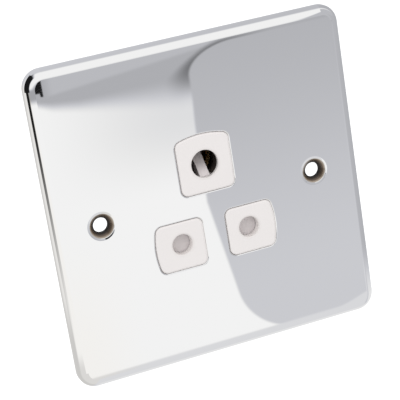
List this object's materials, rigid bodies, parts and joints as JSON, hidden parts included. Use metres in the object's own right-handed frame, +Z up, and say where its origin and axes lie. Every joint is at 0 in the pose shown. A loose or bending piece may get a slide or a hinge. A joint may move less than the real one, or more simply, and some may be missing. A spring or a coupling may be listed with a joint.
{
  "type": "round pin wall socket",
  "caption": "Flush wall socket outlet for a round three-pin plug: square pressed metal face plate, white pads, sliding shutter, brass sleeve contacts and screw terminals.",
  "frame": {"origin": "centre of the plate's rear rim on the wall plane, midway between the two fixing holes", "axes": "+Y into the wall, -Y out of the face towards the user, +Z up (earth pin on top), +X to the right as seen from the front"},
  "size_m": [0.0866, 0.0227, 0.0866],
  "materials": {
    "chrome_plate": "bright polished chrome plating on pressed sheet",
    "white_moulding": "satin-gloss white moulded thermoplastic",
    "shutter_moulding": "fine matte grey-white moulded thermoplastic",
    "dark_moulding": "dark moulded thermoset, slightly dull",
    "brass": "drawn and machined bright brass",
    "steel": "zinc plated turned steel"
  },
  "bodies": {
    "housing": {"face_plate": "chrome_plate", "front_housing": "white_moulding", "shutter_frame": "dark_moulding", "shutter_carrier": "dark_moulding", "shutter_spring": "steel", "earth_contact": "brass", "line_contact": "brass", "neutral_contact": "brass", "earth_grip_spring": "steel", "line_grip_spring": "steel", "neutral_grip_spring": "steel", "earth_terminal": "brass", "line_terminal": "brass", "neutral_terminal": "brass", "earth_terminal_screw": "steel", "line_terminal_screw": "steel", "neutral_terminal_screw": "steel", "terminal_base": "dark_moulding", "back_cover": "dark_moulding", "housing_screw_1": "steel", "housing_screw_2": "steel", "housing_screw_3": "steel", "housing_screw_4": "steel", "plate_nut_top": "steel", "plate_nut_bottom": "steel", "earth_strap": "brass", "strap_screw": "steel", "strap_nut": "steel"},
    "shutter": {"shutter": "shutter_moulding"}
  },
  "joints": [
    {"name": "shutter_slide", "type": "slide", "parent": "housing", "child": "shutter", "axis": [0, 0, -1], "range_m": [0, 0.006], "stiffness_N_per_m": 100, "springref_m": -0.004, "deforming": ["shutter_spring"]}
  ]
}
